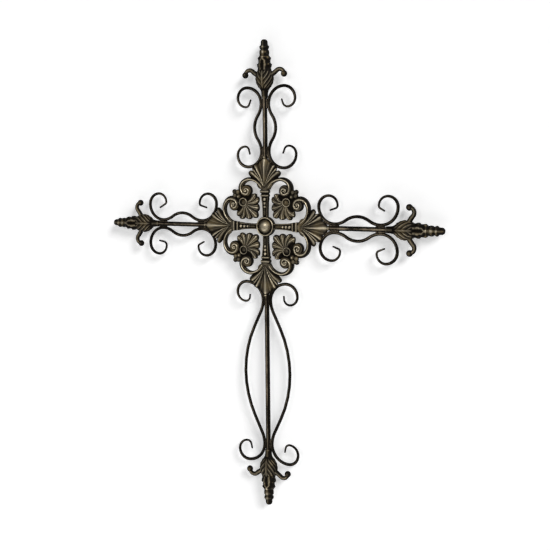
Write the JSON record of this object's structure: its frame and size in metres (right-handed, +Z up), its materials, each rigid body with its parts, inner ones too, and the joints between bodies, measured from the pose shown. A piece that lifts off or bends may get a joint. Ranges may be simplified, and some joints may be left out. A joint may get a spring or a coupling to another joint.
{
  "type": "wrought iron wall cross",
  "caption": "Wall-hung scroll cross of bent iron wire and round rods around a pierced cast rosette, with cast leaf finials at the arm ends.",
  "frame": {"origin": "centre of the flat round pad behind the boss, on the wall plane", "axes": "+Z up along the upright, +Y into the wall, so the cross faces -Y, +X to its right as seen"},
  "size_m": [0.7212, 0.0289, 0.9142],
  "materials": {
    "rosette_cast_iron": "dark antique bronze patina, near black in the hollows and rubbed warm grey on the ridges",
    "rod_iron": "dark brown-black painted bar with a low satin sheen",
    "wire_iron": "dark brown-black painted wire with a low satin sheen",
    "finial_cast_iron": "dark antique bronze patina, lightly rubbed on the leaf ridges"
  },
  "bodies": {
    "root": {"center_rosette": "rosette_cast_iron", "rod_top": "rod_iron", "rod_right": "rod_iron", "rod_bottom": "rod_iron", "rod_left": "rod_iron", "scroll_top_left": "wire_iron", "scroll_top_right": "wire_iron", "scroll_right_upper": "wire_iron", "scroll_right_lower": "wire_iron", "scroll_left_upper": "wire_iron", "scroll_left_lower": "wire_iron", "scroll_bottom_left": "wire_iron", "scroll_bottom_right": "wire_iron", "finial_top": "finial_cast_iron", "finial_right": "finial_cast_iron", "finial_bottom": "finial_cast_iron", "finial_left": "finial_cast_iron"}
  },
  "joints": []
}
